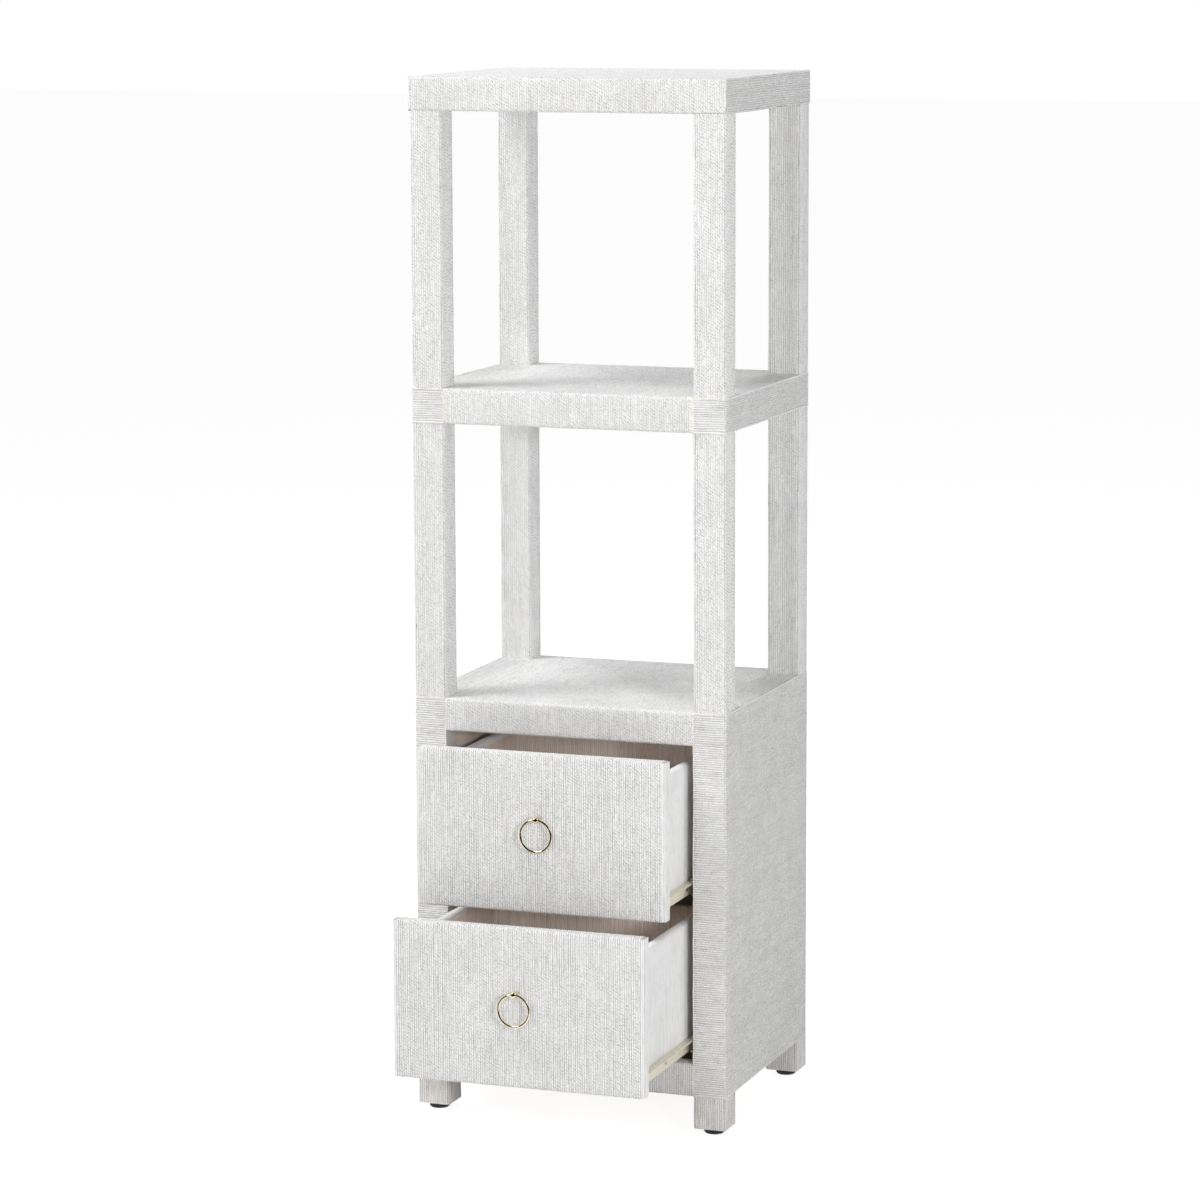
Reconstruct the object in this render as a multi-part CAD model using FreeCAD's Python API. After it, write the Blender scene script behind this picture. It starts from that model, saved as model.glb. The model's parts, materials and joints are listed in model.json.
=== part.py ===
import FreeCAD, Part
import math
import os

# A tall open shelf tower over a two-drawer base, its boards wrapped in whitewashed cord.
# X runs to the right, Y to the back and Z up. The origin is the middle of the footprint, on the floor.
# The drawers are drawn partly pulled out. All lengths are in millimetres.

Vector = FreeCAD.Vector
LEFT, RIGHT = -1, 1
FRONT, BACK = -1, 1
SIDE_NAMES = {LEFT: "left", RIGHT: "right"}
END_NAMES = {FRONT: "front", BACK: "back"}

# Whole tower
case_width = 400.0
case_depth = 330.0
top_thickness = 40.0
upper_bay_height = 334.0
shelf_thickness = 42.0
lower_bay_height = 337.0
edge_radius = 3.0
fillet_wall_share = 0.45
cut_overrun = 1.0
place_tolerance = 0.01

# Posts of the open bays and the dowels in their ends
post_width = 40.0
post_depth = 38.0
post_setback = 0.5
dowel_radius = 5.0
dowel_post_depth = 32.0
dowel_board_depth = 18.0
dowel_clearance = 0.05

# Drawer base
leg_width = 40.0
leg_depth = 40.0
foot_height = 40.0
bottom_rail_height = 40.0
drawer_opening_height = 392.0
top_rail_height = 40.0
rail_thickness = 20.0
deck_thickness = 18.0
side_panel_thickness = 18.0
back_panel_thickness = 9.0
back_panel_recess = 3.0
bottom_panel_thickness = 12.0

# Foot glides
glide_radius = 12.5
glide_height = 8.0
glide_chamfer = 1.5
glide_stud_radius = 4.0
glide_stud_length = 25.0
glide_stud_clearance = 0.1

# Drawers
drawer_side_gap = 1.5
drawer_level_gap = 2.0
drawer_front_thickness = 16.0
upper_drawer_short_of_open = 90.0
lower_drawer_short_of_open = 13.0
drawer_back_room = 30.0
drawer_side_thickness = 12.0
drawer_side_drop = 23.0
drawer_back_thickness = 12.0
drawer_back_inset = 6.0
drawer_edge_radius = 4.0
drawer_bottom_thickness = 5.0
drawer_bottom_above_screws = 3.0
drawer_housing = 6.0
groove_clearance = 0.2

# Roller slides of bent sheet, one member on the case and one under each drawer side
slide_space = 12.5
slide_back_room = 51.0
slide_setback = 1.0
slide_lap_when_open = 60.0
slide_sheet = 1.2
slide_rise = 9.4
drawer_member_foot = 10.0
drawer_flange_clearance = 1.5
case_flange_clearance = 1.3
case_member_headroom = 0.8
roller_radius = 7.0
roller_width = 6.5
roller_chamfer = 0.8
roller_clearance = 0.3
roller_play = 1.5
roller_from_end = 10.0
rivet_radius = 2.5
rivet_clearance = 0.05
rivet_head_radius = 4.0
rivet_head_thickness = 0.8
slide_screw_radius = 1.6
slide_screw_length = 10.0
slide_screw_head_radius = 3.0
slide_screw_head_thickness = 1.0
screw_clearance = 0.05
drawer_screw_shares = (0.36, 0.84)
case_screw_shares = (0.20, 0.86)

# Ring pulls
ring_radius = 19.4
ring_wire_radius = 1.6
eye_radius = 4.2
eye_stand_off = 13.0
eye_stem_radius = 2.6
ring_bore_clearance = 0.6
pull_screw_radius = 1.5
pull_screw_bite = 6.0
pull_screw_head_radius = 3.5
pull_screw_head_thickness = 2.2
pull_hole_clearance = 0.3

# Levels and planes that follow from the sizes above
panel_bottom = glide_height + foot_height
opening_bottom = panel_bottom + bottom_rail_height
opening_top = opening_bottom + drawer_opening_height
deck_top = opening_top + top_rail_height
deck_bottom = deck_top - deck_thickness
shelf_bottom = deck_top + lower_bay_height
shelf_top = shelf_bottom + shelf_thickness
top_bottom = shelf_top + upper_bay_height
top_top = top_bottom + top_thickness
half_width = case_width / 2
half_depth = case_depth / 2
leg_inner = half_width - leg_width
leg_reach = half_depth - leg_depth
rail_back = rail_thickness - half_depth
back_panel_inner = half_depth - back_panel_recess - back_panel_thickness

drawer_front_height = (drawer_opening_height - 3 * drawer_level_gap) / 2
lower_front_bottom = opening_bottom + drawer_level_gap
upper_front_bottom = lower_front_bottom + drawer_front_height + drawer_level_gap
front_outer = -half_depth
front_inner = front_outer + drawer_front_thickness
box_back = back_panel_inner - drawer_back_room
side_outer = leg_inner - slide_space
side_inner = side_outer - drawer_side_thickness
back_outer = box_back - drawer_back_inset
back_inner = back_outer - drawer_back_thickness

case_web_inner = leg_inner - slide_sheet
drawer_web_outer = side_outer + slide_sheet
case_member_front = front_inner + slide_setback
slide_length = back_panel_inner - slide_back_room - case_member_front
slide_travel = slide_length - slide_lap_when_open
upper_drawer_pulled_out = slide_travel - upper_drawer_short_of_open
lower_drawer_pulled_out = slide_travel - lower_drawer_short_of_open
drawer_member_height = roller_play + 2 * roller_radius + roller_clearance + slide_sheet

parts = {}


def box(x_span, y_span, z_span):
    """A block between the lower and upper value of each axis."""
    (x0, x1), (y0, y1), (z0, z1) = sorted(x_span), sorted(y_span), sorted(z_span)
    return Part.makeBox(x1 - x0, y1 - y0, z1 - z0, Vector(x0, y0, z0))


def rod(radius, start, end):
    """A round bar between two points."""
    run = end - start
    return Part.makeCylinder(radius, run.Length, start, run)


def rounded(shape, radius, edges, wall):
    """The shape with some edges rounded, no further than its wall allows."""
    return shape.makeFillet(min(radius, wall * fillet_wall_share), edges)


def edges_along(shape, axis, **places):
    """The straight edges along an axis whose middles lie at the given x, y or z."""
    found = []
    for edge in shape.Edges:
        ends = [vertex.Point for vertex in edge.Vertexes]
        run = ends[1] - ends[0]
        misses = [abs(getattr(edge.CenterOfMass, name) - value) for name, value in places.items()]
        misses.append(run.Length - abs(run.dot(axis)))
        if max(misses) < place_tolerance:
            found.append(edge)
    return found


def corners():
    """The four corners of the tower, as side and end signs with a name for each."""
    for end in (FRONT, BACK):
        for side in (LEFT, RIGHT):
            yield side, end, f"{END_NAMES[end]}_{SIDE_NAMES[side]}"


def post_spans(side, end):
    """The plan of a bay post, set back a little from the board edges."""
    x_outer = half_width - post_setback
    y_outer = half_depth - post_setback
    return (side * x_outer, side * (x_outer - post_width)), (end * y_outer, end * (y_outer - post_depth))


def post_middle(side, end, level):
    """The point in the middle of a post's plan at a level."""
    x_span, y_span = post_spans(side, end)
    return Vector(sum(x_span) / 2, sum(y_span) / 2, level)


def dowel_holes(level, rise):
    """Four holes for post dowels, from a level and for a depth that may point down."""
    radius = dowel_radius + dowel_clearance
    overrun = Vector(0, 0, math.copysign(cut_overrun, rise))
    holes = []
    for side, end, _ in corners():
        mouth = post_middle(side, end, level)
        holes.append(rod(radius, mouth - overrun, mouth + Vector(0, 0, rise)))
    return holes


def board(bottom, top):
    """A full-size board with every edge rounded."""
    shape = box((-half_width, half_width), (-half_depth, half_depth), (bottom, top))
    return rounded(shape, edge_radius, shape.Edges, top - bottom)


def make_boards():
    """The top panel and the middle shelf, bored for the post dowels."""
    parts["top_panel"] = board(top_bottom, top_top).cut(dowel_holes(top_bottom, dowel_board_depth))
    through_holes = dowel_holes(shelf_bottom, shelf_thickness + cut_overrun)
    parts["middle_shelf"] = board(shelf_bottom, shelf_top).cut(through_holes)


def make_posts():
    """Eight bay posts with rounded corners and a dowel hole in each end."""
    bays = {"upper": (shelf_top, top_bottom), "lower": (deck_top, shelf_bottom)}
    for bay, (bottom, top) in bays.items():
        holes = dowel_holes(bottom, dowel_post_depth) + dowel_holes(top, -dowel_post_depth)
        for side, end, corner in corners():
            shape = box(*post_spans(side, end), (bottom, top))
            upright = edges_along(shape, Vector(0, 0, 1))
            shape = rounded(shape, edge_radius, upright, min(post_width, post_depth))
            parts[f"{bay}_{corner}_post"] = shape.cut(holes)


def make_dowels():
    """The dowels that join the posts to the legs, through the shelf to each other, and to the top."""
    spans = (
        (deck_top - dowel_board_depth, deck_top + dowel_post_depth),
        (shelf_bottom - dowel_post_depth, shelf_top + dowel_post_depth),
        (top_bottom - dowel_post_depth, top_bottom + dowel_board_depth),
    )
    dowels = []
    for bottom, top in spans:
        for side, end, _ in corners():
            dowels.append(rod(dowel_radius, post_middle(side, end, bottom), post_middle(side, end, top)))
    parts["post_dowels"] = Part.makeCompound(dowels)


def leg_block(side, end, bottom, top):
    """The plain block that a corner leg takes up."""
    x_span = (side * leg_inner, side * half_width)
    return box(x_span, (end * leg_reach, end * half_depth), (bottom, top))


def leg_middle(side, end, level):
    """The point in the middle of a leg's plan at a level."""
    return Vector(side * (leg_inner + half_width) / 2, end * (leg_reach + half_depth) / 2, level)


def make_legs():
    """Corner legs that run from the glides to the deck's top."""
    upright = Vector(0, 0, 1)
    holes = dowel_holes(deck_top, -dowel_board_depth)
    for side, end, corner in corners():
        shape = leg_block(side, end, glide_height, deck_top)
        shown = edges_along(shape, upright, x=side * half_width, y=end * half_depth)
        shown += edges_along(shape, upright, x=side * leg_inner, y=end * half_depth)
        shape = rounded(shape, edge_radius, shown, min(leg_width, leg_depth))
        foot = leg_middle(side, end, glide_height)
        mouth = foot - Vector(0, 0, cut_overrun)
        stud_end = foot + Vector(0, 0, glide_stud_length + glide_stud_clearance)
        stud_hole = rod(glide_stud_radius + glide_stud_clearance, mouth, stud_end)
        parts[f"{corner}_leg"] = shape.cut(holes + [stud_hole])


def make_glides():
    """Four round glides, each on a stud that goes up into its leg."""
    glides = []
    for side, end, _ in corners():
        floor_point = leg_middle(side, end, 0)
        seat = leg_middle(side, end, glide_height)
        pad = rod(glide_radius, floor_point, seat)
        chamfer = min(glide_chamfer, glide_height * fillet_wall_share)
        pad = pad.makeChamfer(chamfer, [edge for edge in pad.Edges if edge.Closed])
        stud = rod(glide_stud_radius, seat, seat + Vector(0, 0, glide_stud_length))
        glides.append(pad.fuse(stud).removeSplitter())
    parts["foot_glides"] = Part.makeCompound(glides)


def all_leg_blocks():
    """The room that the four legs take, for notching boards around them."""
    return [leg_block(side, end, 0, deck_top + cut_overrun) for side, end, _ in corners()]


def make_deck():
    """The board on top of the drawer base, notched round the legs."""
    shape = box((-half_width, half_width), (-half_depth, half_depth), (deck_bottom, deck_top))
    shown = edges_along(shape, Vector(1, 0, 0), z=deck_top) + edges_along(shape, Vector(0, 1, 0), z=deck_top)
    parts["deck_panel"] = rounded(shape, edge_radius, shown, deck_thickness).cut(all_leg_blocks())


def make_rails():
    """The front rails above and below the drawers."""
    x_span, y_span = (-leg_inner, leg_inner), (-half_depth, rail_back)
    across = Vector(1, 0, 0)
    top_rail = box(x_span, y_span, (opening_top, deck_bottom))
    shown = edges_along(top_rail, across, y=-half_depth, z=opening_top)
    parts["top_rail"] = rounded(top_rail, edge_radius, shown, min(rail_thickness, deck_bottom - opening_top))
    bottom_rail = box(x_span, y_span, (panel_bottom, opening_bottom))
    shown = edges_along(bottom_rail, across, y=-half_depth)
    parts["bottom_rail"] = rounded(bottom_rail, edge_radius, shown, min(rail_thickness, bottom_rail_height))


def make_panels():
    """The side, back and bottom panels, and the packers that carry the slides."""
    panel_inner = half_width - side_panel_thickness
    between_legs = (-leg_reach, leg_reach)
    packer_bottom = panel_bottom + bottom_panel_thickness
    for side in (LEFT, RIGHT):
        panel_span = (side * panel_inner, side * half_width)
        parts[f"{SIDE_NAMES[side]}_side_panel"] = box(panel_span, between_legs, (panel_bottom, deck_bottom))
        packer = box((side * leg_inner, side * panel_inner), between_legs, (packer_bottom, deck_bottom))
        parts[f"{SIDE_NAMES[side]}_slide_packer"] = packer.cut(case_screw_shanks(side, screw_clearance))
    back_outer_plane = half_depth - back_panel_recess
    back_span = (back_panel_inner, back_outer_plane)
    parts["back_panel"] = box((-leg_inner, leg_inner), back_span, (panel_bottom, deck_bottom))
    bottom = box((-panel_inner, panel_inner), (rail_back, back_panel_inner), (panel_bottom, packer_bottom))
    parts["bottom_panel"] = bottom.cut(all_leg_blocks())


def member_bottom(front_bottom):
    """The underside of a drawer's slide members."""
    return front_bottom + slide_rise


def flange_underside(front_bottom):
    """The underside of the drawer flange, which runs on the case rollers."""
    return member_bottom(front_bottom) + drawer_member_height - slide_sheet


def slide_middle(front_bottom):
    """The level of the slide screws and of the case rollers."""
    return flange_underside(front_bottom) - roller_clearance - roller_radius


def slide_screw(side, outwards, web_face, y, z, clearance):
    """A screw through a slide's web: its head on the web and its shank into the wood behind."""
    face = Vector(side * web_face, y, z)
    into_wood = Vector(side * outwards, 0, 0)
    tip = face + into_wood * (slide_screw_length + slide_sheet + clearance)
    shank = rod(slide_screw_radius + clearance, face, tip)
    if clearance:
        return shank
    head = rod(slide_screw_head_radius, face, face - into_wood * slide_screw_head_thickness)
    return head.fuse(shank).removeSplitter()


def case_screw_shanks(side, clearance):
    """The screws of one side's case members, or with a clearance the holes for them."""
    screws = []
    for front_bottom in (lower_front_bottom, upper_front_bottom):
        for share in case_screw_shares:
            y = case_member_front + slide_length * share
            screws.append(slide_screw(side, 1, case_web_inner, y, slide_middle(front_bottom), clearance))
    return screws


def drawer_screw_shanks(side, front_bottom, clearance):
    """The screws of one drawer member, or with a clearance the holes for them."""
    screws = []
    for share in drawer_screw_shares:
        y = front_inner + slide_length * share
        screws.append(slide_screw(side, -1, drawer_web_outer, y, slide_middle(front_bottom), clearance))
    return screws


def roller_and_rivet(side, outwards, web_face, y, z):
    """A nylon roller and the headed rivet that it turns on, beside a slide's web."""
    away = Vector(-side * outwards, 0, 0)
    face = Vector(side * web_face, y, z)
    near = face + away * roller_clearance
    far = near + away * roller_width
    head_seat = far + away * roller_clearance
    roller = rod(roller_radius, near, far)
    chamfer = min(roller_chamfer, roller_width * fillet_wall_share)
    roller = roller.makeChamfer(chamfer, [edge for edge in roller.Edges if edge.Closed])
    roller = roller.cut(rod(rivet_radius + rivet_clearance, face, head_seat))
    rivet = rod(rivet_radius, face, head_seat)
    head = rod(rivet_head_radius, head_seat, head_seat + away * rivet_head_thickness)
    return roller, rivet.fuse(head)


def make_case_slides(level, front_bottom):
    """The channel members on the case, each with the roller at its front end."""
    low = member_bottom(front_bottom) - slide_sheet
    high = member_bottom(front_bottom) + drawer_member_height + case_member_headroom + slide_sheet
    y_span = (case_member_front, case_member_front + slide_length)
    flange_end = drawer_web_outer + case_flange_clearance
    for side in (LEFT, RIGHT):
        name = f"{level}_{SIDE_NAMES[side]}"
        web = box((side * case_web_inner, side * leg_inner), y_span, (low, high))
        flange_span = (side * flange_end, side * leg_inner)
        sill = box(flange_span, y_span, (low, low + slide_sheet))
        hood = box(flange_span, y_span, (high - slide_sheet, high))
        roller_y = case_member_front + roller_from_end
        roller, rivet = roller_and_rivet(side, 1, case_web_inner, roller_y, slide_middle(front_bottom))
        member = web.fuse([sill, hood, rivet]).removeSplitter()
        parts[f"{name}_case_slide"] = member.cut(case_screw_shanks(side, screw_clearance))
        parts[f"{name}_front_roller"] = roller


def make_case_screws():
    """The screws that hold the case members to the packers."""
    screws = case_screw_shanks(LEFT, 0) + case_screw_shanks(RIGHT, 0)
    parts["case_slide_screws"] = Part.makeCompound(screws)


def drawer_slides(front_bottom):
    """The members under a drawer's sides, each with the roller at its back end."""
    low = member_bottom(front_bottom)
    high = low + drawer_member_height
    y_span = (front_inner, front_inner + slide_length)
    flange_end = case_web_inner - drawer_flange_clearance
    pieces = {}
    for side in (LEFT, RIGHT):
        web = box((side * side_outer, side * drawer_web_outer), y_span, (low, high))
        foot_end = side_outer - drawer_member_foot
        foot = box((side * foot_end, side * drawer_web_outer), y_span, (low, low + slide_sheet))
        flange = box((side * side_outer, side * flange_end), y_span, (high - slide_sheet, high))
        roller_y = front_inner + slide_length - roller_from_end
        roller_z = low + roller_clearance + roller_radius
        roller, rivet = roller_and_rivet(side, -1, drawer_web_outer, roller_y, roller_z)
        member = web.fuse([foot, flange, rivet]).removeSplitter()
        holes = drawer_screw_shanks(side, front_bottom, screw_clearance)
        pieces[f"{SIDE_NAMES[side]}_slide"] = member.cut(holes)
        pieces[f"{SIDE_NAMES[side]}_rear_roller"] = roller
    return pieces


def drawer_box(front_bottom):
    """A drawer's front, sides, back and bottom, housed into one another."""
    front_top = front_bottom + drawer_front_height
    side_bottom = member_bottom(front_bottom) + slide_sheet
    side_top = front_top - drawer_side_drop
    floor_bottom = slide_middle(front_bottom) + slide_screw_radius + drawer_bottom_above_screws
    floor_top = floor_bottom + drawer_bottom_thickness
    housed_x = side_inner + drawer_housing
    housed_y = front_inner - drawer_housing
    across = (-housed_x, housed_x)
    floor = box(across, (housed_y, back_outer), (floor_bottom, floor_top))
    floor_groove = box(across, (housed_y, box_back), (floor_bottom, floor_top + groove_clearance))
    back = box(across, (back_inner, back_outer), (floor_top + groove_clearance, side_top))
    shown = edges_along(back, Vector(1, 0, 0), z=side_top)
    back = rounded(back, drawer_edge_radius, shown, drawer_back_thickness)
    back_groove = box(across, (back_inner, back_outer), (floor_top, side_top + cut_overrun))
    pieces = {"bottom": floor, "back": back}

    half_front = leg_inner - drawer_side_gap
    front = box((-half_front, half_front), (front_outer, front_inner), (front_bottom, front_top))
    front = rounded(front, edge_radius, front.Edges, drawer_front_thickness)
    cuts = [floor_groove, pull_screw(front_bottom, pull_hole_clearance)]
    for side in (LEFT, RIGHT):
        span = (side * side_inner, side * side_outer)
        blank = box(span, (housed_y, box_back), (side_bottom, side_top))
        shown = edges_along(blank, Vector(0, 1, 0), z=side_top)
        blank = rounded(blank, drawer_edge_radius, shown, drawer_side_thickness)
        cuts.append(blank)
        holes = drawer_screw_shanks(side, front_bottom, screw_clearance)
        pieces[f"{SIDE_NAMES[side]}_side"] = blank.cut([floor_groove, back_groove] + holes)
    pieces["front"] = front.cut(cuts)
    return pieces


def eye_place(front_bottom):
    """The middle of a pull's eye: one ring radius above the middle of the drawer front."""
    middle = front_bottom + drawer_front_height / 2
    return Vector(0, front_outer - eye_stand_off, middle + ring_radius)


def pull_screw(front_bottom, clearance):
    """The screw from inside a drawer into its pull, or with a clearance the hole for its shank."""
    eye = eye_place(front_bottom)
    head_seat = Vector(0, front_inner, eye.z)
    tip = Vector(0, front_outer - pull_screw_bite, eye.z)
    if clearance:
        return rod(pull_screw_radius + clearance, head_seat, tip)
    head = rod(pull_screw_head_radius, head_seat, head_seat + Vector(0, pull_screw_head_thickness, 0))
    return rod(pull_screw_radius, head_seat, tip).fuse(head).removeSplitter()


def ring_pull(front_bottom):
    """A pull's eye, and the ring that hangs in it."""
    eye = eye_place(front_bottom)
    face = Vector(0, front_outer, eye.z)
    bore_reach = Vector(eye_radius + cut_overrun, 0, 0)
    shape = Part.makeSphere(eye_radius, eye).fuse(rod(eye_stem_radius, face, eye)).removeSplitter()
    bore = rod(ring_wire_radius + ring_bore_clearance, eye - bore_reach, eye + bore_reach)
    screw_end = face - Vector(0, pull_screw_bite + screw_clearance, 0)
    screw_room = rod(pull_screw_radius + screw_clearance, face, screw_end)
    ring = Part.makeTorus(ring_radius, ring_wire_radius, eye - Vector(0, 0, ring_radius), Vector(0, 1, 0))
    return {"pull_eye": shape.cut([bore, screw_room]), "pull_ring": ring}


def make_drawer(level, front_bottom, pulled_out):
    """All the pieces of a drawer, moved out from where they close."""
    pieces = drawer_box(front_bottom)
    pieces.update(drawer_slides(front_bottom))
    pieces.update(ring_pull(front_bottom))
    screws = [pull_screw(front_bottom, 0)]
    for side in (LEFT, RIGHT):
        screws += drawer_screw_shanks(side, front_bottom, 0)
    pieces["screws"] = Part.makeCompound(screws)
    for name, shape in pieces.items():
        parts[f"{level}_drawer_{name}"] = shape.translated(Vector(0, -pulled_out, 0))


make_boards()
make_posts()
make_dowels()
make_legs()
make_glides()
make_deck()
make_rails()
make_panels()
make_case_screws()
for drawer_level, drawer_bottom, drawer_out in (
    ("upper", upper_front_bottom, upper_drawer_pulled_out),
    ("lower", lower_front_bottom, lower_drawer_pulled_out),
):
    make_case_slides(drawer_level, drawer_bottom)
    make_drawer(drawer_level, drawer_bottom, drawer_out)

os.makedirs("parts", exist_ok=True)
for node, piece in parts.items():
    piece.exportStep(os.path.join("parts", f"{node}.step"))
print(len(parts), "nodes; drawers out by", upper_drawer_pulled_out, "and", lower_drawer_pulled_out)
print("slides", slide_length, "long, with a travel of", slide_travel)
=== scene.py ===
"""Dress the tall shelf tower: wound cords, painted and metal finishes, and a plain white studio."""
import json
import logging
import math
from dataclasses import dataclass, field
from enum import Enum
from typing import Any, Optional, Sequence

import bpy
from mathutils import Matrix, Vector


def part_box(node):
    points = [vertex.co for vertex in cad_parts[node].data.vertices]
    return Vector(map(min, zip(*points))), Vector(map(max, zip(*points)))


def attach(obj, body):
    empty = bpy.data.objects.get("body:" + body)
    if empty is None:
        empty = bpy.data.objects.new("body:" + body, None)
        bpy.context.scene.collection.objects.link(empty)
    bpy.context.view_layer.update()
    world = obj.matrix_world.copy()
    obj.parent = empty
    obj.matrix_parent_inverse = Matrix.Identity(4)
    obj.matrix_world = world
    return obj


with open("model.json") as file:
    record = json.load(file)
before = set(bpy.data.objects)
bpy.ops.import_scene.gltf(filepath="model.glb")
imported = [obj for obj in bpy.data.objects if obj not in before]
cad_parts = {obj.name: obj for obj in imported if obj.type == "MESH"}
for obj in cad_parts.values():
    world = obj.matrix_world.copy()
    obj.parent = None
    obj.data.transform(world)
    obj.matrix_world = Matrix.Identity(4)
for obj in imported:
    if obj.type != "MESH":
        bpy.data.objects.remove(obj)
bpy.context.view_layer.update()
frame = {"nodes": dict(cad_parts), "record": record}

LOG = logging.getLogger("shelf_tower")
Colour = tuple[float, float, float, float]
Place = tuple[float, float, float]
Span = tuple[float, float]
Material = bpy.types.Material
Points = list[Vector]
Socket = bpy.types.NodeSocket
WHITE: Colour = (1.0, 1.0, 1.0, 1.0)
WHOLE: Span = (0.0, 1.0)

# The boards' rounded edges, a path's longest straight step and how even a front is, in metres
EDGE_RADIUS = 0.003
RUN_STEP = 0.010
FLAT_LIMIT = 0.0001

# How many straight steps make a bend
BEND_STEPS = 3


class Slot(Enum):
    """The record's material slots."""

    CORD = "cord_wrap"
    BOARD = "painted_board"
    BARE = "bare_board"
    DOWEL = "dowel_wood"
    SLIDE = "cream_steel"
    NYLON = "nylon"
    SCREW = "screw_steel"
    BRASS = "brass"
    GLIDE = "black_glide"


class Side(Enum):
    """The two sides of the tower, seen from the front."""

    LEFT = -1
    RIGHT = 1

    @property
    def word(self) -> str:
        """The side as the parts' names spell it."""
        return self.name.lower()


class Level(Enum):
    """The two drawers and the two open bays."""

    UPPER = "upper"
    LOWER = "lower"


class Sketch:
    """Adds nodes to one node tree and links them."""

    def __init__(self, tree: bpy.types.NodeTree) -> None:
        """Keep the tree that the nodes go into."""
        self.tree = tree

    def feed(self, socket: Socket, value: Any) -> None:
        """Fill an input.

        Args:
            socket: The input.
            value: An output to link to it, or a plain value.
        """
        if isinstance(value, bpy.types.NodeSocket):
            self.tree.links.new(value, socket)
        else:
            socket.default_value = value

    def add(self, kind: str, inputs: Optional[dict] = None, **settings: Any) -> bpy.types.Node:
        """Add a node.

        Args:
            kind: The node's type name.
            inputs: Values or outputs for its sockets, by name or number.
            settings: Values for the node's own properties.

        Returns:
            The new node.
        """
        node = self.tree.nodes.new(kind)
        for name, value in settings.items():
            setattr(node, name, value)
        for key, value in (inputs or {}).items():
            self.feed(node.inputs[key], value)
        return node

    def first(self, kind: str, inputs: Optional[dict] = None, **settings: Any) -> Socket:
        """The first output of a node that is added in the same way."""
        return self.add(kind, inputs, **settings).outputs[0]

    def maths(self, operation: str, *values: Any, clamp: bool = False) -> Socket:
        """The result of a sum on numbers."""
        return self.first("ShaderNodeMath", dict(enumerate(values)), operation=operation, use_clamp=clamp)

    def vector(self, operation: str, *values: Any) -> Socket:
        """The result of a sum on vectors."""
        node = self.add("ShaderNodeVectorMath", dict(enumerate(values)), operation=operation)
        return node.outputs["Value" if operation == "DOT_PRODUCT" else "Vector"]

    def times(self, direction: Any, length: Any) -> Socket:
        """A vector made longer or shorter by a number."""
        inputs = {0: direction, "Scale": length}
        return self.add("ShaderNodeVectorMath", inputs, operation="SCALE").outputs["Vector"]

    def xyz(self, **parts: Any) -> Socket:
        """A vector put together from its parts."""
        return self.first("ShaderNodeCombineXYZ", parts)

    def parts(self, vector: Socket) -> Any:
        """The three parts of a vector."""
        return self.add("ShaderNodeSeparateXYZ", {0: vector}).outputs

    def here(self, kind: str = "Object") -> Socket:
        """The place or the direction that is being coloured."""
        return self.add("ShaderNodeTexCoord").outputs[kind]

    def mix(self, share: Any, first: Any, second: Any, mode: str = "MIX") -> Socket:
        """Two colours mixed by a share."""
        inputs = {0: share, 6: first, 7: second}
        return self.add("ShaderNodeMix", inputs, data_type="RGBA", blend_type=mode).outputs[2]

    def ease(self, value: Any, span: Span, lowest: float = 0.0, highest: float = 1.0) -> Socket:
        """A value eased from a span to a lowest and a highest result, held at the ends."""
        inputs = {0: value, 1: span[0], 2: span[1], 3: lowest, 4: highest}
        return self.first("ShaderNodeMapRange", inputs, interpolation_type="SMOOTHSTEP")

    def noise(self, place: Any, scale: Any, detail: float) -> Socket:
        """Smooth noise between 0 and 1."""
        return self.first("ShaderNodeTexNoise", {"Vector": place, "Scale": scale, "Detail": detail})

    def own_noise(self, place: Any, scale: float, offset: Any) -> Socket:
        """Smooth noise between 0 and 1, with an offset that picks another part of it."""
        inputs = {"Vector": place, "Scale": scale, "W": offset}
        return self.first("ShaderNodeTexNoise", inputs, noise_dimensions="4D")

    def keep(self, geometry: Socket, **fields: tuple[str, Any]) -> tuple[Socket, dict[str, Socket]]:
        """Hold fields on a geometry's points, so that later nodes can still read them.

        Args:
            geometry: The geometry that carries the fields.
            fields: A kind and a field for each name.

        Returns:
            The geometry with the fields on it, and an output for each field.
        """
        node = self.add("GeometryNodeCaptureAttribute", {"Geometry": geometry}, domain="POINT")
        for name, (kind, value) in fields.items():
            node.capture_items.new(kind, name)
            self.feed(node.inputs[name], value)
        return node.outputs["Geometry"], {name: node.outputs[name] for name in fields}


def new_group(name: str, kind: str, inputs: dict[str, str], output: tuple[str, str]) -> Sketch:
    """Start a node group.

    Args:
        name: The group's name.
        kind: The type of its tree.
        inputs: The type of each named input.
        output: The name and the type of its output.

    Returns:
        A sketch of the group.
    """
    tree = bpy.data.node_groups.new(name, kind)
    for socket, sort in inputs.items():
        tree.interface.new_socket(socket, in_out="INPUT", socket_type=f"NodeSocket{sort}")
    tree.interface.new_socket(output[0], in_out="OUTPUT", socket_type=f"NodeSocket{output[1]}")
    return Sketch(tree)


def blank_sketch(owner: Material | bpy.types.World) -> Sketch:
    """Clear the nodes of a material or a world.

    Args:
        owner: The material or the world.

    Returns:
        An empty sketch of it.
    """
    owner.use_nodes = True
    owner.node_tree.nodes.clear()
    return Sketch(owner.node_tree)


def new_object(name: str, data: bpy.types.ID) -> bpy.types.Object:
    """Put an object in the scene.

    Args:
        name: Its name.
        data: Its mesh, lamp or camera.

    Returns:
        The object, at the origin.
    """
    thing = bpy.data.objects.new(name, data)
    bpy.context.scene.collection.objects.link(thing)
    return thing


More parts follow.
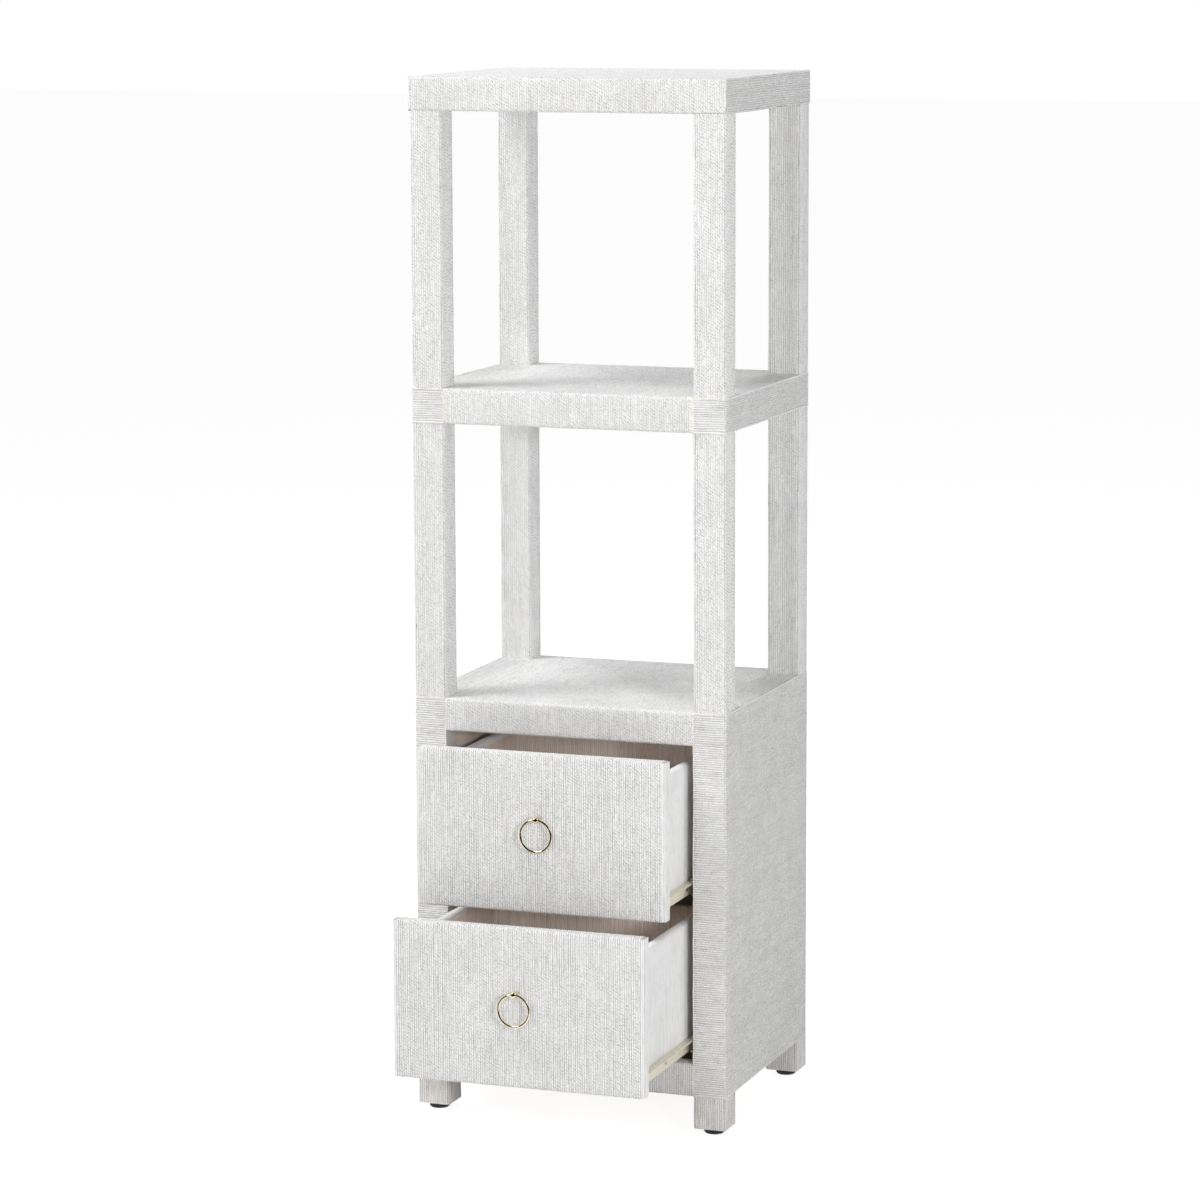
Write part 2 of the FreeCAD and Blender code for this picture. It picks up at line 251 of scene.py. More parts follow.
def outline(plane: str, *pairs: Span) -> Points:
    """Points in a plane through the origin, each by its two places in it, such as y and z."""
    return [Vector(dict(zip(plane, pair)).get(axis, 0.0) for axis in "xyz") for pair in pairs]


def rounded_path(corners: Sequence[Vector], radius: float = EDGE_RADIUS, closed: bool = False,
                 own_radii: Optional[dict[int, float]] = None) -> Points:
    """Join corners by straight runs and round bends.

    Args:
        corners: The points where the path turns, and its two ends where it is open.
        radius: The bend's radius at each turn.
        closed: Whether the path comes back to its start.
        own_radii: Another radius for some corners, by their number.

    Returns:
        Points along the path, close enough for a cord to follow.
    """
    points: Points = []
    count = len(corners)
    for index, corner in enumerate(corners):
        if not closed and index in (0, count - 1):
            points.append(corner)
            continue
        back = (corners[index - 1] - corner).normalized()
        ahead = (corners[(index + 1) % count] - corner).normalized()
        half = back.angle(ahead) / 2
        bend = (own_radii or {}).get(index, radius)
        middle = corner + (back + ahead).normalized() * (bend / math.sin(half))
        first = (corner + back * (bend / math.tan(half)) - middle).normalized()
        last = (corner + ahead * (bend / math.tan(half)) - middle).normalized()
        points += [middle + first.slerp(last, step / BEND_STEPS) * bend for step in range(BEND_STEPS + 1)]
    path: Points = []
    ends = points[1:] + points[:1] if closed else points[1:]
    for start, end in zip(points, ends):
        pieces = max(1, math.ceil((end - start).length / RUN_STEP))
        path += [start.lerp(end, piece / pieces) for piece in range(pieces)]
    return path if closed else path + [points[-1]]


def upright(low: float, high: float) -> Points:
    """A path straight up from one height to another."""
    return rounded_path([Vector((0, 0, low)), Vector((0, 0, high))])


@dataclass(frozen=True)
class Block:
    """The space between a lowest and a highest corner."""

    lo: Vector
    hi: Vector

    @classmethod
    def of(cls, node: str) -> "Block":
        """The box around a CAD node at rest."""
        lo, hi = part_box(node)
        return cls(Vector(lo), Vector(hi))

    def hoop(self) -> Points:
        """A closed path over the front, top, back and underside."""
        lo, hi = self.lo, self.hi
        return rounded_path(outline("yz", (lo.y, lo.z), (lo.y, hi.z), (hi.y, hi.z), (hi.y, lo.z)),
                            closed=True)

    def girth(self, inner_radius: float = EDGE_RADIUS) -> Points:
        """Go round the four upright faces.

        Args:
            inner_radius: The bend's radius at the corner nearest the middle.

        Returns:
            A closed path.
        """
        lo, hi = self.lo, self.hi
        corners = outline("xy", (lo.x, lo.y), (hi.x, lo.y), (hi.x, hi.y), (lo.x, hi.y))
        nearest = min(range(len(corners)), key=lambda index: corners[index].length)
        return rounded_path(corners, closed=True, own_radii={nearest: inner_radius})

    def outer(self, side: Side) -> float:
        """The x of the face on one side."""
        return self.hi.x if side is Side.RIGHT else self.lo.x


def boxed(node: str) -> Any:
    """A field that holds the box of a CAD node."""
    return field(default_factory=lambda: Block.of(node))


@dataclass(frozen=True)
class Lay:
    """How closely and how evenly cords lie side by side, in metres."""

    pitch: float = 0.0028
    cover_share: float = 1.02
    rise: float = 0.0007
    sink: float = 0.0005
    drift: float = 0.0006
    stray: float = 0.00018
    jitter: float = 0.00012


@dataclass(frozen=True)
class CordRun:
    """Cords laid along one course, side by side along one row."""

    row: Points
    course: Points
    row_closed: bool = False
    course_closed: bool = False
    single: bool = False

    def count(self, pitch: float) -> int:
        """Count the cords.

        Args:
            pitch: How far apart they lie.

        Returns:
            How many fill the row.
        """
        if self.single:
            return 1
        ends = self.row[1:] + self.row[:1] if self.row_closed else self.row[1:]
        length = sum((end - start).length for start, end in zip(self.row, ends))
        return max(2, round(length / pitch) + (0 if self.row_closed else 1))

    def paths_object(self) -> bpy.types.Object:
        """Draw the row and the course as two chains of edges in one mesh.

        Returns:
            The object with the mesh.
        """
        mesh = bpy.data.meshes.new("cord_paths")
        split = len(self.row)
        total = split + len(self.course)
        edges = [(point, point + 1) for point in range(total - 1) if point != split - 1]
        if self.row_closed:
            edges.append((split - 1, 0))
        if self.course_closed:
            edges.append((total - 1, split))
        mesh.from_pydata(self.row + self.course, edges, [])
        marks = mesh.attributes.new("row", "BOOLEAN", "POINT")
        marks.data.foreach_set("value", [point < split for point in range(total)])
        return new_object("cord_paths", mesh)


class CordTree:
    """The geometry nodes that lay cords: one copy of the course at each place along the row."""

    # What the tree is given, and the marks that it leaves for the finish
    INPUTS = {"Paths": "Geometry", "Count": "Int", "Width": "Float", "Rise": "Float", "Sink": "Float",
              "Drift": "Float", "Stray": "Float", "Jitter": "Float", "Seed": "Int", "Finish": "Material"}
    MARKS = ("crest", "lean", "tone", "along")

    # How round a cord's back is, and how far apart neighbours read the noise
    PROFILE_POINTS = 5
    CORD_STEP = 7.31

    # How fine the noise of each unevenness is, and the span of it that counts
    DRIFT_SCALE = 14.0
    DRIFT_SPAN = (0.2, 0.8)
    STRAY_SCALE = 60.0
    STRAY_SPAN = (0.25, 0.75)
    SWELL_SCALE = 90.0
    SWELL_SPAN = (0.25, 0.75)
    SWELL_SHARES = (0.86, 1.10)

    def __init__(self) -> None:
        """Build the tree once and note its inputs' identifiers."""
        self.sketch = new_group("laid_cords", "GeometryNodeTree", self.INPUTS, ("Cords", "Geometry"))
        self.tree = self.sketch.tree
        sockets = self.tree.interface.items_tree
        self.inputs = {item.name: item.identifier for item in sockets if item.in_out == "INPUT"}
        self.given = self.sketch.add("NodeGroupInput").outputs
        self.build()

    def copies(self) -> tuple[Socket, dict[str, Socket]]:
        """Copy the course to each place along the row.

        Returns:
            The copies, and for each its direction across and its number.
        """
        sketch, given = self.sketch, self.given
        is_row = sketch.first("GeometryNodeInputNamedAttribute", {"Name": "row"}, data_type="BOOLEAN")
        chains = {"Geometry": given["Paths"], "Selection": is_row}
        paths = sketch.add("GeometryNodeSeparateGeometry", chains).outputs
        row = sketch.first("GeometryNodeMeshToCurve", {"Mesh": paths["Selection"]})
        course = sketch.first("GeometryNodeMeshToCurve", {"Mesh": paths["Inverted"]})
        places = sketch.add("GeometryNodeCurveToPoints", {"Curve": row, "Count": given["Count"]}).outputs
        index = sketch.first("GeometryNodeInputIndex")
        marks = {"across": ("VECTOR", places["Tangent"]), "cord": ("INT", index)}
        points, on_row = sketch.keep(places["Points"], **marks)
        copies = sketch.first("GeometryNodeInstanceOnPoints", {"Points": points, "Instance": course})
        return sketch.first("GeometryNodeRealizeInstances", {"Geometry": copies}), on_row

    def build(self) -> None:
        """Add the nodes: copies, their wander, their section, and marks for the finish."""
        sketch, given = self.sketch, self.given
        cords, on_row = self.copies()
        across, cord = on_row["across"], on_row["cord"]
        tangent = sketch.first("GeometryNodeInputTangent")
        along = sketch.add("GeometryNodeSplineParameter").outputs["Length"]
        outward = sketch.vector("NORMALIZE", sketch.vector("CROSS_PRODUCT", across, tangent))
        cords, on_cord = sketch.keep(cords, outward=("VECTOR", outward), along=("FLOAT", along))
        outward = on_cord["outward"]
        place = sketch.first("GeometryNodeInputPosition")
        shift = sketch.times(across, self.wander(place, cord))
        cords = sketch.first("GeometryNodeSetPosition", {"Geometry": cords, "Offset": shift})
        cords, on_axis = sketch.keep(cords, axis=("VECTOR", place))
        cords = sketch.first("GeometryNodeSetCurveNormal", {"Curve": cords, "Normal": outward}, mode="FREE")
        own = sketch.maths("MULTIPLY", cord, self.CORD_STEP)
        swell = sketch.own_noise(place, self.SWELL_SCALE, own)
        mesh = sketch.first("GeometryNodeCurveToMesh", {
            "Curve": cords, "Profile Curve": self.profile(), "Fill Caps": True,
            "Scale": sketch.ease(swell, self.SWELL_SPAN, *self.SWELL_SHARES)})
        away = sketch.vector("SUBTRACT", place, on_axis["axis"])
        lift = sketch.vector("DOT_PRODUCT", away, outward)
        crest = sketch.maths("DIVIDE", lift, given["Rise"], clamp=True)
        lean = sketch.maths("DIVIDE", sketch.vector("DOT_PRODUCT", away, across), given["Width"])
        for name, value in zip(self.MARKS, (crest, lean, self.chance(cord), on_cord["along"])):
            mark = {"Geometry": mesh, "Name": name, "Value": value}
            mesh = sketch.first("GeometryNodeStoreNamedAttribute", mark, domain="POINT")
        mesh = sketch.first("GeometryNodeSetShadeSmooth", {"Geometry": mesh})
        mesh = sketch.first("GeometryNodeRealizeInstances", {"Geometry": mesh})
        mesh = sketch.first("GeometryNodeSetMaterial", {"Geometry": mesh, "Material": given["Finish"]})
        sketch.add("NodeGroupOutput", {"Cords": mesh})

    def chance(self, cord: Socket, lowest: float = 0.0) -> Socket:
        """A random number up to 1 for each cord."""
        inputs = {2: lowest, 3: 1.0, "ID": cord, "Seed": self.given["Seed"]}
        return self.sketch.add("FunctionNodeRandomValue", inputs, data_type="FLOAT").outputs[1]

    def wander(self, place: Socket, cord: Socket) -> Socket:
        """Let a cord stray sideways: with its neighbours, by itself, and as it was laid.

        Args:
            place: A point on the cord.
            cord: The cord's number.

        Returns:
            How far the point strays.
        """
        sketch, given = self.sketch, self.given
        seeded = sketch.maths("ADD", sketch.maths("MULTIPLY", cord, self.CORD_STEP), given["Seed"])
        with_others = sketch.own_noise(place, self.DRIFT_SCALE, given["Seed"])
        alone = sketch.own_noise(place, self.STRAY_SCALE, seeded)
        drift = sketch.maths("MULTIPLY", sketch.ease(with_others, self.DRIFT_SPAN, -1.0), given["Drift"])
        stray = sketch.maths("MULTIPLY", sketch.ease(alone, self.STRAY_SPAN, -1.0), given["Stray"])
        laid = sketch.maths("MULTIPLY", self.chance(cord, -1.0), given["Jitter"])
        return sketch.maths("ADD", sketch.maths("ADD", drift, stray), laid)

    def profile(self) -> Socket:
        """Draw a cord's section.

        Returns:
            A curve with a flat foot sunk in the board, and a round back.
        """
        sketch, given = self.sketch, self.given
        half_round = {"Resolution": self.PROFILE_POINTS, "Radius": 1.0, "Start Angle": -math.pi / 2,
                      "Sweep Angle": math.pi}
        arc = sketch.first("GeometryNodeCurveArc", half_round, mode="RADIUS")
        ring = sketch.first("GeometryNodeSetSplineCyclic", {"Geometry": arc, "Cyclic": True})
        height = sketch.maths("ADD", given["Rise"], given["Sink"])
        scale = sketch.xyz(X=height, Y=sketch.maths("DIVIDE", given["Width"], 2.0), Z=1.0)
        down = sketch.xyz(X=sketch.maths("MULTIPLY", given["Sink"], -1.0))
        return sketch.first("GeometryNodeTransform", {"Geometry": ring, "Translation": down, "Scale": scale})


@dataclass(frozen=True)
class Streaks:
    """How far fibre streaks are drawn out, and how fine they are."""

    stretch: float
    fineness: float


class SharedEffects:
    """Shader node groups that more than one finish uses."""

    # The spans of noise and of a ply's wave that count, and the noise's finer layers
    SOFT_SPAN = (0.3, 0.7)
    GROOVE_SPAN = (0.2, 1.0)
    FIBRE_DETAIL = 3.0
    PATCH_DETAIL = 4.0

    def __init__(self) -> None:
        """Build each group once."""
        self.streaks = self.build_streaks()
        self.patches = self.build_patches()
        self.plies = self.build_plies()

    @staticmethod
    def start(name: str, output: str, **inputs: str) -> tuple[Sketch, Any]:
        """A new group with named inputs and one output, and its input sockets."""
        sketch = new_group(name, "ShaderNodeTree", inputs, (output, "Float"))
        return sketch, sketch.add("NodeGroupInput").outputs

    def build_streaks(self) -> bpy.types.ShaderNodeTree:
        """Draw fine fibres along the first axis of a place.

        Returns:
            The group, whose output is between 0 and 1.
        """
        inputs = {"Place": "Vector", "Stretch": "Float", "Fineness": "Float"}
        sketch, given = self.start("fibre_streaks", "Streak", **inputs)
        parts = sketch.parts(given["Place"])
        drawn = sketch.maths("DIVIDE", parts["X"], given["Stretch"])
        place = sketch.xyz(X=drawn, Y=parts["Y"], Z=parts["Z"])
        fibres = sketch.noise(place, given["Fineness"], self.FIBRE_DETAIL)
        sketch.add("NodeGroupOutput", {"Streak": sketch.ease(fibres, self.SOFT_SPAN)})
        return sketch.tree

    def build_patches(self) -> bpy.types.ShaderNodeTree:
        """Draw soft uneven patches.

        Returns:
            The group, whose output is between 0 and 1.
        """
        sketch, given = self.start("soft_patches", "Patch", Place="Vector", Fineness="Float")
        cloud = sketch.noise(given["Place"], given["Fineness"], self.PATCH_DETAIL)
        sketch.add("NodeGroupOutput", {"Patch": sketch.ease(cloud, self.SOFT_SPAN)})
        return sketch.tree

    def build_plies(self) -> bpy.types.ShaderNodeTree:
        """Draw the slanted grooves between a cord's twisted plies.

        Returns:
            The group, whose output is 1 in a groove and 0 on a ply.
        """
        inputs = dict.fromkeys(("Along", "Lean", "Start", "Length"), "Float")
        sketch, given = self.start("twisted_plies", "Groove", **inputs)
        turns = sketch.maths("DIVIDE", given["Along"], given["Length"])
        turns = sketch.maths("ADD", turns, sketch.maths("ADD", given["Lean"], given["Start"]))
        wave = sketch.maths("SINE", sketch.maths("MULTIPLY", turns, math.tau))
        sketch.add("NodeGroupOutput", {"Groove": sketch.ease(wave, self.GROOVE_SPAN)})
        return sketch.tree

    @staticmethod
    def place(sketch: Sketch, group: bpy.types.ShaderNodeTree, **inputs: Any) -> Socket:
        """Place a group in a material with its own values."""
        return sketch.first("ShaderNodeGroup", inputs, node_tree=group)

    def streak(self, sketch: Sketch, place: Socket, streaks: Streaks) -> Socket:
        """Place the fibre streaks in a material."""
        inputs = {"Place": place, "Stretch": streaks.stretch, "Fineness": streaks.fineness}
        return self.place(sketch, self.streaks, **inputs)

    def patch(self, sketch: Sketch, place: Socket, fineness: float) -> Socket:
        """Place the soft patches in a material."""
        return self.place(sketch, self.patches, Place=place, Fineness=fineness)


class Paint(Sketch):
    """The nodes of one new material, round its shader."""

    def __init__(self, name: str) -> None:
        """Start the material."""
        self.material = bpy.data.materials.new(name)
        self.material.use_nodes = True
        super().__init__(self.material.node_tree)
        self.shader = self.tree.nodes["Principled BSDF"].inputs

    def cover(self, colour: Socket, roughness: Socket, height: Socket, strength: float,
              depth: float) -> Material:
        """Feed the shader.

        Args:
            colour: The surface's colour.
            roughness: How dull it is.
            height: Its fine relief.
            strength: How much of the relief shows.
            depth: How deep the relief is.

        Returns:
            The material.
        """
        relief = self.first("ShaderNodeBump", {"Strength": strength, "Distance": depth, "Height": height})
        for name, value in (("Base Color", colour), ("Roughness", roughness), ("Normal", relief)):
            self.feed(self.shader[name], value)
        return self.material


@dataclass(frozen=True)
class CordFinish:
    """Whitewashed cane cord: pale on its back, with painted shade where it dips between its neighbours and
    in the grooves between its plies.
    """

    name: str = "whitewashed_cord"
    wash: Colour = (0.94, 0.94, 0.94, 1.0)
    # Painted shade in the dip between neighbouring cords
    gap: Colour = (0.21, 0.20, 0.195, 1.0)
    cane: Colour = (0.76, 0.73, 0.70, 1.0)
    # Painted shadow in short slits between cords
    slit_shadow: Colour = (0.13, 0.12, 0.115, 1.0)
    thin_share: float = 0.3
    # How far up a cord the painted gap shade reaches, how much of it stays where no dash opens, and how dark
    # the ply grooves are painted
    gap_shade_reach: float = 0.55
    closed_gap_shade: float = 0.42
    groove_share: float = 0.85
    tone_share: float = 0.05
    band_share: float = 0.05

    # Streaks along the cord, and the spans in which some of them show: fibres, dashes where the painted gap
    # shade opens wider, slits of painted shadow, thin wash, and specks that vary the painted shade in the
    # ply grooves
    FIBRE = Streaks(12.0, 900.0)
    DASH = Streaks(3.0, 420.0)
    TEAR = Streaks(5.0, 260.0)
    THIN = Streaks(3.0, 95.0)
    PEPPER = Streaks(1.2, 420.0)
    DASH_SPAN = (0.2, 0.8)
    SLIT_SHADOW_SPAN = (0.82, 0.97)
    THIN_SPAN = (0.72, 0.95)

    # How far apart neighbours read the streaks, and the sizes of a crest and a ply
    CORD_STEP = 9.0
    CREST_DEPTH = 0.002
    PLY_LENGTH = 0.0038

    # Uneven tone, gloss and relief
    BAND_FINENESS = 26.0
    FIBRE_SHARE = 0.04
    ROUGHNESS = (0.78, 0.95)
    SPECULAR = 0.25
    FIBRE_HEIGHT_SHARE = 0.4
    BUMP_STRENGTH = 0.6
    BUMP_DEPTH = 0.0002

    def material(self, effects: SharedEffects) -> Material:
        """Build the nodes.

        Args:
            effects: The shared shader groups.

        Returns:
            The material.
        """
        paint = Paint(self.name)
        crest, lean, tone, along = (paint.add("ShaderNodeAttribute", attribute_name=name).outputs["Fac"]
                                    for name in CordTree.MARKS)
        apart = paint.maths("MULTIPLY", tone, self.CORD_STEP)
        place = paint.xyz(X=along, Y=apart, Z=paint.maths("MULTIPLY", crest, self.CREST_DEPTH))
        kinds = (self.FIBRE, self.DASH, self.TEAR, self.THIN, self.PEPPER)
        fibre, dash, slit_streak, thin, pepper = (effects.streak(paint, place, kind) for kind in kinds)
        # Painted shade: the gap colour fills the dips between cords where dashes open and the ply grooves,
        # and the slit colour paints shadow in short slits
        dip_shade_mask = paint.ease(crest, (0.0, self.gap_shade_reach), 1.0, 0.0)
        groove = effects.place(paint, effects.plies, Along=along, Lean=lean, Length=self.PLY_LENGTH,
                               Start=paint.maths("ADD", apart, thin))
        groove = paint.maths("MULTIPLY", groove, pepper)
        gap_shade_mask = paint.maths("MULTIPLY", dip_shade_mask, paint.ease(dash, self.DASH_SPAN, self.closed_gap_shade))
        gap_shade_mask = paint.maths("MAXIMUM", gap_shade_mask, paint.maths("MULTIPLY", groove, self.groove_share))
        worn = paint.maths("MULTIPLY", paint.ease(thin, self.THIN_SPAN), self.thin_share)
        shaded = paint.mix(gap_shade_mask, paint.mix(worn, self.wash, self.cane), self.gap)
        slit_shadow_mask = paint.maths("MULTIPLY", dip_shade_mask, paint.ease(slit_streak, self.SLIT_SHADOW_SPAN))
        shaded = paint.mix(slit_shadow_mask, shaded, self.slit_shadow)
        band = effects.patch(paint, paint.here(), self.BAND_FINENESS)
        shade: Any = 1.0
        for mark, share in ((tone, self.tone_share), (band, self.band_share), (fibre, self.FIBRE_SHARE)):
            shade = paint.maths("SUBTRACT", shade, paint.maths("MULTIPLY", mark, share))
        grey = paint.first("ShaderNodeCombineColor", {0: shade, 1: shade, 2: shade})
        colour = paint.mix(1.0, shaded, grey, "MULTIPLY")
        roughness = paint.ease(fibre, WHOLE, *self.ROUGHNESS)
        height = paint.maths("SUBTRACT", paint.maths("MULTIPLY", fibre, self.FIBRE_HEIGHT_SHARE), groove)
        paint.feed(paint.shader["Specular IOR Level"], self.SPECULAR)
        return paint.cover(colour, roughness, height, self.BUMP_STRENGTH, self.BUMP_DEPTH)


@dataclass(frozen=True)
class BoardFinish:
    """Painted or bare board, with faint lines up its grain."""

    name: str
    colour: Colour
    line_colour: Colour
    roughness: float
    grain: Streaks = Streaks(40.0, 700.0)

    PATCH_FINENESS = 18.0
    LINE_SHARE = 0.5
    DULLING = 0.15
    BUMP_STRENGTH = 0.5
    BUMP_DEPTH = 0.00006

    def material(self, effects: SharedEffects) -> Material:
        """Build the nodes.

        Args:
            effects: The shared shader groups.

        Returns:
            The material.
        """
        paint = Paint(self.name)
        place = paint.here()
        parts = paint.parts(place)
        lines = effects.streak(paint, paint.xyz(X=parts["Z"], Y=parts["X"], Z=parts["Y"]), self.grain)
        patch = effects.patch(paint, place, self.PATCH_FINENESS)
        share = paint.maths("MULTIPLY", paint.maths("ADD", lines, patch), self.LINE_SHARE)
        colour = paint.mix(share, self.colour, self.line_colour)
        roughness = paint.ease(patch, WHOLE, self.roughness, self.roughness + self.DULLING)
        return paint.cover(colour, roughness, lines, self.BUMP_STRENGTH, self.BUMP_DEPTH)


@dataclass(frozen=True)
class HardFinish:
    """Metal, enamel, nylon or rubber with uneven gloss and a fine texture."""

    name: str
    colour: Colour
    dull_colour: Colour
    roughness: Span
    metallic: float = 0.0
    coat: float = 0.0
    fineness: float = 120.0
    bump_depth: float = 0.00001

    GRIT_TIMES = 12
    BUMP_STRENGTH = 0.4

    def material(self, effects: SharedEffects) -> Material:
        """Build the nodes.

        Args:
            effects: The shared shader groups.

        Returns:
            The material.
        """
        paint = Paint(self.name)
        place = paint.here()
        patch = effects.patch(paint, place, self.fineness)
        grit = effects.patch(paint, place, self.fineness * self.GRIT_TIMES)
        paint.feed(paint.shader["Metallic"], self.metallic)
        paint.feed(paint.shader["Coat Weight"], self.coat)
        colour = paint.mix(patch, self.colour, self.dull_colour)
        roughness = paint.ease(patch, WHOLE, *self.roughness)
        return paint.cover(colour, roughness, grit, self.BUMP_STRENGTH, self.bump_depth)


class Wrap(Enum):
    """The finishes of the wound cords; each paints shade into the dips between cords, deeper or paler by how
    the part sits in the light.
    """

    USUAL = CordFinish()
    SEAM = CordFinish("seam_cord", wash=(0.90, 0.87, 0.82, 1.0), gap=(0.50, 0.45, 0.39, 1.0),
                      cane=(0.76, 0.68, 0.57, 1.0), thin_share=0.5)
    FRONT = CordFinish("front_cord", groove_share=0.80, closed_gap_shade=0.5, band_share=0.04)
    # Deeper painted shade between the cords, for the stiles, the shelf corners and the bottom rail in shade
    # under the lower drawer
    STILE = CordFinish("stile_cord", gap=(0.25, 0.245, 0.24, 1.0), gap_shade_reach=0.85, closed_gap_shade=0.7,
                       groove_share=0.5)
    # Deeper painted shade between the cords for the back right posts, which stand in shade
    LINED = CordFinish("lined_cord", wash=(0.97, 0.97, 0.97, 1.0), gap_shade_reach=0.8, closed_gap_shade=0.65,
                       groove_share=0.6)
    # Paler painted shade between the cords, for the brightly lit drawer sides, front ends and rims
    SIDE = CordFinish("side_cord", gap=(0.60, 0.60, 0.60, 1.0), slit_shadow=(0.45, 0.44, 0.43, 1.0),
                      groove_share=0.28)
    # The feet's painted shade reaches wider across each cord, under a paler, warmer wash
    FOOT = CordFinish("foot_cord", wash=(0.96, 0.95, 0.94, 1.0), gap=(0.24, 0.22, 0.205, 1.0),
                      cane=(0.70, 0.64, 0.60, 1.0), slit_shadow=(0.16, 0.14, 0.12, 1.0), gap_shade_reach=0.85,
                      closed_gap_shade=0.7, groove_share=0.5)
    BARE = CordFinish("bare_cord", wash=(0.97, 0.84, 0.74, 1.0), gap=(0.72, 0.60, 0.51, 1.0),
                      cane=(0.80, 0.67, 0.58, 1.0), slit_shadow=(0.32, 0.24, 0.19, 1.0), thin_share=0.5,
                      closed_gap_shade=0.6, tone_share=0.14)


# The boards under the cords that differ from the rest, by the last word of a node's name; the fronts' core
# is dark as painted shade that shows between their cords
CORE_FINISHES = {
    "front": BoardFinish("front_shade_core", (0.30, 0.295, 0.29, 1.0), (0.66, 0.65, 0.64, 1.0), 0.85,
                         Streaks(1.6, 520.0)),
    "leg": BoardFinish("leg_core", (0.65, 0.62, 0.595, 1.0), (0.72, 0.69, 0.665, 1.0), 0.85),
}

SLOT_FINISHES = {
    Slot.CORD: BoardFinish("wound_core", (0.72, 0.71, 0.70, 1.0), (0.64, 0.63, 0.62, 1.0), 0.85),
    Slot.BOARD: BoardFinish("painted_board", (0.86, 0.86, 0.855, 1.0), (0.80, 0.80, 0.795, 1.0), 0.5),
    Slot.BARE: BoardFinish("bare_board", (0.90, 0.78, 0.69, 1.0), (0.83, 0.70, 0.61, 1.0), 0.7),
    Slot.DOWEL: BoardFinish("bare_beech", (0.66, 0.48, 0.30, 1.0), (0.52, 0.35, 0.20, 1.0), 0.6),
    Slot.SLIDE: HardFinish("cream_enamel", (0.84, 0.78, 0.64, 1.0), (0.80, 0.73, 0.58, 1.0), (0.30, 0.42),
                           coat=0.2),
    Slot.NYLON: HardFinish("nylon_white", (0.72, 0.67, 0.64, 1.0), (0.64, 0.59, 0.56, 1.0), (0.38, 0.55)),
    Slot.SCREW: HardFinish("zinc_steel", (0.58, 0.58, 0.60, 1.0), (0.46, 0.45, 0.44, 1.0), (0.25, 0.45),
                           metallic=1.0, fineness=300.0),
    Slot.BRASS: HardFinish("polished_brass", (0.93, 0.82, 0.60, 1.0), (0.86, 0.73, 0.49, 1.0), (0.04, 0.10),
                           metallic=1.0, fineness=220.0),
    Slot.GLIDE: HardFinish("black_glide", (0.012, 0.012, 0.013, 1.0), (0.03, 0.03, 0.03, 1.0), (0.55, 0.75),
                           bump_depth=0.00004),
}


class Finishes:
    """Every material of the tower, built once."""

    def __init__(self) -> None:
        """Build the shared effects and the materials."""
        effects = SharedEffects()
        self.cords = {wrap: wrap.value.material(effects) for wrap in Wrap}
        self.cores = {word: finish.material(effects) for word, finish in CORE_FINISHES.items()}
        self.of_slot = {slot: finish.material(effects) for slot, finish in SLOT_FINISHES.items()}

    def dress_nodes(self) -> None:
        """Give each CAD node the finish of its slot."""
        for part in frame["record"]["subparts"]:
            node = part["node"]
            usual = self.of_slot[Slot(part["material_slot"])]
            finish = self.cores.get(node.rsplit("_", 1)[-1], usual)
            mesh = frame["nodes"][node].data
            mesh.materials.clear()
            mesh.materials.append(finish)
            LOG.info("%s: %s", node, finish.name)


class Winder:
    """Lays runs of cord and joins each set into one plain mesh on its body."""

    def __init__(self, finishes: Finishes) -> None:
        """Build the cord tree and start the seeds."""
        self.finishes = finishes
        self.cord_tree = CordTree()
        self.seed = 0

    def cords(self, run: CordRun, lay: Lay, wrap: Wrap) -> bpy.types.Object:
        """Lay one run.

        Args:
            run: The row and the course.
            lay: How closely and evenly the cords lie.
            wrap: The cords' finish.

        Returns:
            An object with the laid cords as a plain mesh.
        """
        self.seed += 1
        paths = run.paths_object()
        modifier = paths.modifiers.new("laid_cords", "NODES")
        modifier.node_group = self.cord_tree.tree
        values = {"Count": run.count(lay.pitch), "Width": lay.pitch * lay.cover_share, "Rise": lay.rise,
                  "Sink": lay.sink, "Drift": lay.drift, "Stray": lay.stray, "Jitter": lay.jitter,
                  "Seed": self.seed, "Finish": self.finishes.cords[wrap]}
        for name, value in values.items():
            modifier[self.cord_tree.inputs[name]] = value
        view = bpy.context.evaluated_depsgraph_get()
        laid = bpy.data.meshes.new_from_object(paths.evaluated_get(view))
        laid.attributes.remove(laid.attributes["row"])
        paths.modifiers.remove(modifier)
        spare = paths.data
        paths.data = laid
        bpy.data.meshes.remove(spare)
        return paths

    def wind(self, name: str, body: str, runs: list[CordRun], lay: Lay, wrap: Wrap) -> None:
        """Lay several runs as one piece.

        Args:
            name: The piece's name.
            body: The CAD body that it moves with.
            runs: The rows and courses.
            lay: How closely and evenly the cords lie.
            wrap: The cords' finish.
        """
        laid = [self.cords(run, lay, wrap) for run in runs]
        piece = laid[0]
        if len(laid) > 1:
            with bpy.context.temp_override(active_object=piece, selected_editable_objects=laid):
                bpy.ops.object.join()
        piece.name = name
        piece.data.name = name
        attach(piece, body)
        LOG.info("%s: %d faces on %s", name, len(piece.data.polygons), body)


def straight_row(start: Vector, end: Vector, pitch: float) -> Points:
    """A row between two edges, with half a pitch left at each."""
    inset = (end - start).normalized() * (pitch / 2)
    return [start + inset, end - inset]


def level_row(start: float, end: float, pitch: float) -> Points:
    """A row that climbs from one height to another."""
    return straight_row(Vector((0, 0, start)), Vector((0, 0, end)), pitch)


def cross_row(start: float, end: float, pitch: float) -> Points:
    """A row from one x to another."""
    return straight_row(Vector((start, 0, 0)), Vector((end, 0, 0)), pitch)


